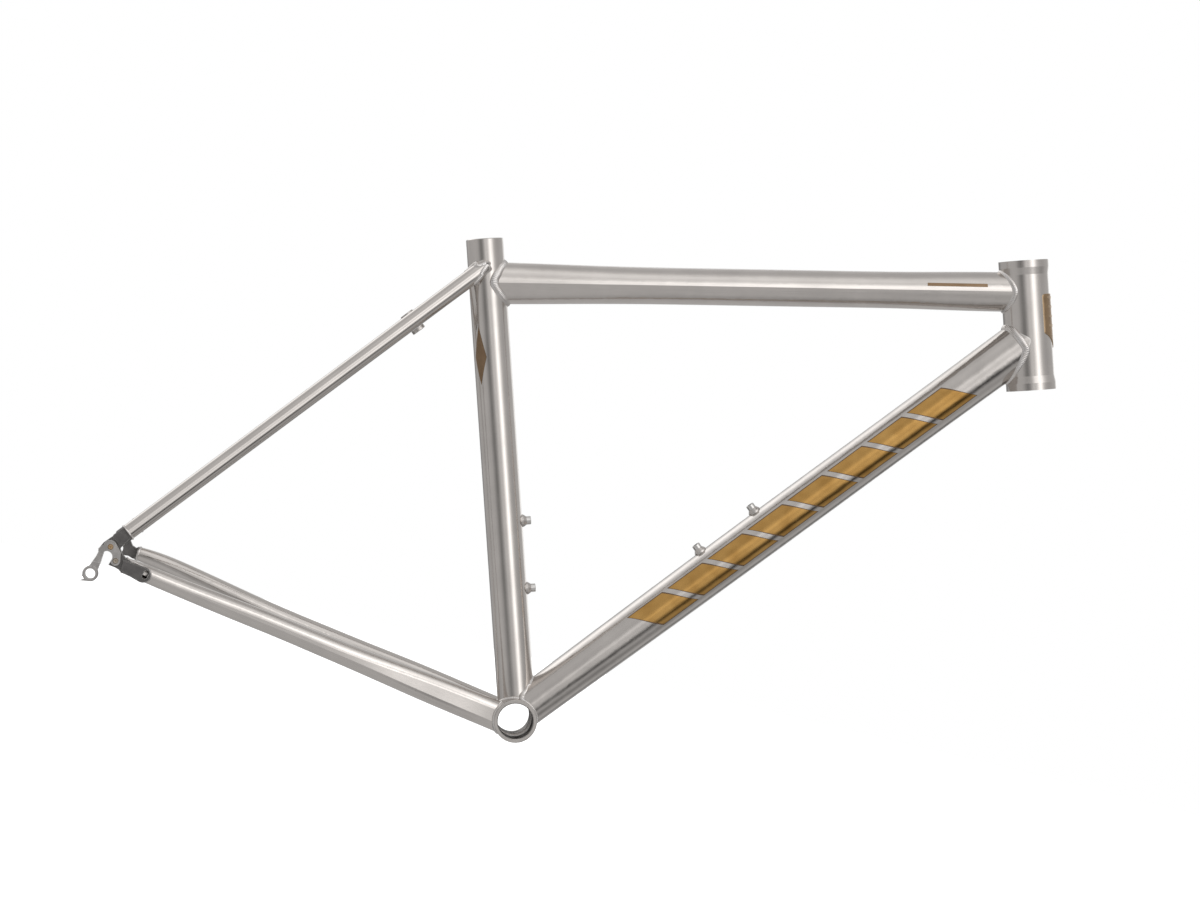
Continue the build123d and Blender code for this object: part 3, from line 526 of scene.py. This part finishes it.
def above_of(along):
    """The direction square to a tube's axis, in the middle plane and upwards or forwards."""
    above = along.cross(LEFT)
    return above if above.z + above.x > 0 else -above


down_start = down_point - down_along * down_point.dot(down_along)
top_start = top_point + top_along * (seat_point - top_point).dot(top_along)

# Millimetres along each tube, and degrees above the middle of its side
BAR_COUNT = 8
BAR_SPAN = (143, 519)
BAR_GAP = 8
BAR_ANGLES = (-36, 31)
BAR_SLANT = 24
OUTLINE = 1.0                    # the brown outline, past the gold
OUTLINE_ANGLE = 2.5              # the same at a bar's ends, in degrees
STRIP_CORNERS = ((415, 12), (473, 12), (473, 22), (415, 22))
LOZENGE_CORNERS = ((316, -38), (342, -10), (371, -33), (342, -62))


def bar_corners(number, margin):
    """Corners of one slanted bar, of an even row along the down tube."""
    pitch = (BAR_SPAN[1] - BAR_SPAN[0]) / BAR_COUNT
    near = BAR_SPAN[0] + pitch * number - margin
    far = near + pitch - BAR_GAP + 2 * margin
    low = BAR_ANGLES[0] - margin * OUTLINE_ANGLE
    high = BAR_ANGLES[1] + margin * OUTLINE_ANGLE
    return (near, low), (far, low), (far + BAR_SLANT, high), (near + BAR_SLANT, high)


for side, hand in ((-1, "right"), (1, "left")):
    for number in range(BAR_COUNT):
        wrap(f"down_tube_bar_edge_{number + 1}_{hand}", "down_tube", down_start, down_along,
             above_of(down_along), side, bar_corners(number, OUTLINE), brown, 0.14, 0.18)
        wrap(f"down_tube_bar_fill_{number + 1}_{hand}", "down_tube", down_start, down_along,
             above_of(down_along), side, bar_corners(number, 0), gold, 0.24, 0.28)
    wrap(f"top_tube_strip_{hand}", "top_tube", top_start, top_along, above_of(top_along), side,
         STRIP_CORNERS, umber, 0.12, 0.16)
    wrap(f"seat_tube_lozenge_{hand}", "seat_tube", Vector(), seat_up, above_of(seat_up), side,
         LOZENGE_CORNERS, umber, 0.12, 0.16)


# ---------------------------------------------------------------------- badge ribs
RIB_HEIGHTS = (-6, 3, 12, 21)    # millimetres above the badge's middle
RIB_WIDTH = 2.4
RIB_REACH = 42                   # degrees to each side of the front

badge_low, badge_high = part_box("head_badge")
badge_middle = (badge_low + badge_high) / 2
badge_height = (badge_middle - head_point).dot(head_up) / MM
for number, height in enumerate(RIB_HEIGHTS):
    low, high = badge_height + height - RIB_WIDTH / 2, badge_height + height + RIB_WIDTH / 2
    for side, hand in ((-1, "right"), (1, "left")):
        rib_corners = ((low, 90 - RIB_REACH), (high, 90 - RIB_REACH), (high, 90), (low, 90))
        wrap(f"badge_rib_{number + 1}_{hand}", "head_badge", head_point, head_up, above_of(head_up),
             side, rib_corners, rib_bronze, 0.02, 0.45)


# ------------------------------------------------------------- bottom bracket threads
THREAD_CREST = 16.5              # millimetres, from the shell's axis
THREAD_ROOT = 16.76
THREAD_PITCH = 25.4 / 24
THREAD_SPAN = (9.2, 32.6)        # from the middle plane
THREAD_BACK = 16.78              # outer face of the lining
STEPS_PER_THREAD = 6


def threaded_sleeve(name, side):
    """A closed lining of the shell's bore with a helical thread on its inner face."""
    segments = 96
    length = THREAD_SPAN[1] - THREAD_SPAN[0]
    steps = round(length / THREAD_PITCH * STEPS_PER_THREAD)
    points = []
    for step in range(-1, steps + 2):
        share = min(max(step, 0), steps) / steps
        across = THREAD_SPAN[0] + length * share
        for segment in range(segments):
            turned_by = segment / segments
            phase = (across / THREAD_PITCH + side * turned_by) % 1
            radius = THREAD_ROOT - (THREAD_ROOT - THREAD_CREST) * (1 - abs(2 * phase - 1))
            if step in (-1, steps + 1):
                radius = THREAD_BACK
            angle = 2 * math.pi * turned_by
            place = Vector((radius * math.cos(angle), side * across, radius * math.sin(angle)))
            points.append(place * MM)
    rings = steps + 3
    faces = []
    for ring in range(rings):
        for segment in range(segments):
            beyond = (segment + 1) % segments
            following = (ring + 1) % rings
            faces.append((
                ring * segments + segment, ring * segments + beyond,
                following * segments + beyond, following * segments + segment))
    return add_piece(name, points, faces, bore_shade_thread_metal)


# The lining's very dark colour is painted shade, standing in for the shade inside the shell's bore.
bore_shade_thread_metal = turned("threaded_bore_painted_shade", LEFT, (0.22, 0.21, 0.20), 0.0005, (0.4, 0.55))
threaded_sleeve("shell_thread_right", -1)
threaded_sleeve("shell_thread_left", 1)


# ----------------------------------------------------------------------- studio light
def towards(azimuth, elevation):
    """Unit vector; azimuth is from +Y round to +X, elevation is above the floor, in degrees."""
    azimuth, elevation = math.radians(azimuth), math.radians(elevation)
    level = math.cos(elevation)
    return Vector((level * math.sin(azimuth), level * math.cos(azimuth), math.sin(elevation)))


AMBIENT = 0.69
# Soft boxes round the frame, and dark flags with a minus sign: azimuth, elevation, spread, strength
STUDIO = (
    (155, 32, 13, 1.9),      # key, above and to the right of the camera
    (150, 5, 9, 1.5),        # low strip to the right
    (125, 50, 10, 0.7),      # overhead, to the right
    (178, 24, 6, 0.8),       # strip above the camera
    (182, 6, 7, 0.4),        # soft strip beside the camera
    (200, 62, 14, 0.6),      # overhead, to the left
    (165, 44, 5, -0.9),      # flag between the key and the overhead boxes
    (150, 18, 4, -0.9),      # thin flag under the key
    (138, -22, 9, -0.65),    # soft card under the low strip
    (206, -8, 12, -0.4),     # dark card beside the camera
    (95, -52, 13, -0.5),     # dark card low on the right
    (100, -5, 14, -0.3),     # dark card to the right
    (320, 30, 14, 1.3),      # key of the far side
    (30, 4, 9, 1.0),         # low strip of the far side
    (0, 24, 6, 0.6),         # strip of the far side
    (42, -22, 9, -0.5),      # soft card under that low strip
    (345, -8, 14, -0.4),     # dark card of the far side
    (300, -45, 14, -0.6),    # dark card low on the far side
)


def make_studio():
    world = bpy.data.worlds.new("studio")
    bpy.context.scene.world = world
    world.use_nodes = True
    tree = world.node_tree
    tree.nodes.clear()
    direction = tree.nodes.new("ShaderNodeTexCoord").outputs["Generated"]
    total = None
    for azimuth, elevation, spread, strength in STUDIO:
        dot = tree.nodes.new("ShaderNodeVectorMath")
        dot.operation = "DOT_PRODUCT"
        dot.inputs[1].default_value = towards(azimuth, elevation)
        tree.links.new(direction, dot.inputs[0])
        sharpness = 1 / math.radians(spread) ** 2
        fall = tree.nodes.new("ShaderNodeMath")
        fall.operation = "MULTIPLY_ADD"
        fall.inputs[1].default_value = sharpness
        fall.inputs[2].default_value = -sharpness
        tree.links.new(dot.outputs["Value"], fall.inputs[0])
        glow = tree.nodes.new("ShaderNodeMath")
        glow.operation = "EXPONENT"
        tree.links.new(fall.outputs["Value"], glow.inputs[0])
        add = tree.nodes.new("ShaderNodeMath")
        add.operation = "MULTIPLY_ADD"
        add.inputs[1].default_value = strength
        add.inputs[2].default_value = AMBIENT
        tree.links.new(glow.outputs["Value"], add.inputs[0])
        if total:
            tree.links.new(total, add.inputs[2])
        total = add.outputs["Value"]
    light = tree.nodes.new("ShaderNodeBackground")
    tree.links.new(total, light.inputs["Strength"])
    backdrop = tree.nodes.new("ShaderNodeBackground")
    backdrop.inputs["Color"].default_value = (1, 1, 1, 1)
    mix = tree.nodes.new("ShaderNodeMixShader")
    tree.links.new(tree.nodes.new("ShaderNodeLightPath").outputs["Is Camera Ray"], mix.inputs[0])
    tree.links.new(light.outputs[0], mix.inputs[1])
    tree.links.new(backdrop.outputs[0], mix.inputs[2])
    tree.links.new(mix.outputs[0], tree.nodes.new("ShaderNodeOutputWorld").inputs["Surface"])


def make_floor(height=-0.4, radius=6.0):
    shape = bmesh.new()
    bmesh.ops.create_circle(shape, cap_ends=True, segments=96, radius=radius)
    mesh = bpy.data.meshes.new("studio_floor")
    shape.to_mesh(mesh)
    shape.free()
    floor = bpy.data.objects.new("studio_floor", mesh)
    floor.location = (0, 0, height)
    bpy.context.scene.collection.objects.link(floor)
    material = bpy.data.materials.new("pale_floor")
    material.use_nodes = True
    surface = material.node_tree.nodes["Principled BSDF"]
    surface.inputs["Base Color"].default_value = (0.9, 0.9, 0.9, 1)
    surface.inputs["Roughness"].default_value = 0.8
    surface.inputs["Emission Color"].default_value = (1, 1, 1, 1)
    surface.inputs["Emission Strength"].default_value = 0.7
    mesh.materials.append(material)
    floor.visible_glossy = False
    floor.visible_diffuse = False


make_studio()
make_floor()

# ---------------------------------------------------------------------------- camera
AIM = Vector((26.5, 0, 255.8)) * MM      # the point in the frame's middle plane that it looks at
DISTANCE = 2.851
FACING = towards(5.2, -0.43)
ROLL = math.radians(12.7)
LENS = 90.3

camera_data = bpy.data.cameras.new("camera")
camera_data.lens = LENS
camera_data.clip_end = 50.0
camera = bpy.data.objects.new("camera", camera_data)
level_right = FACING.cross(Vector((0, 0, 1))).normalized()
level_up = level_right.cross(FACING)
camera_right = level_right * math.cos(ROLL) + level_up * math.sin(ROLL)
camera_up = camera_right.cross(FACING)
turn = Matrix((camera_right, camera_up, -FACING)).transposed()
camera.matrix_world = Matrix.Translation(AIM - FACING * DISTANCE) @ turn.to_4x4()
bpy.context.scene.collection.objects.link(camera)
bpy.context.scene.camera = camera
bpy.context.scene.view_settings.view_transform = "Standard"
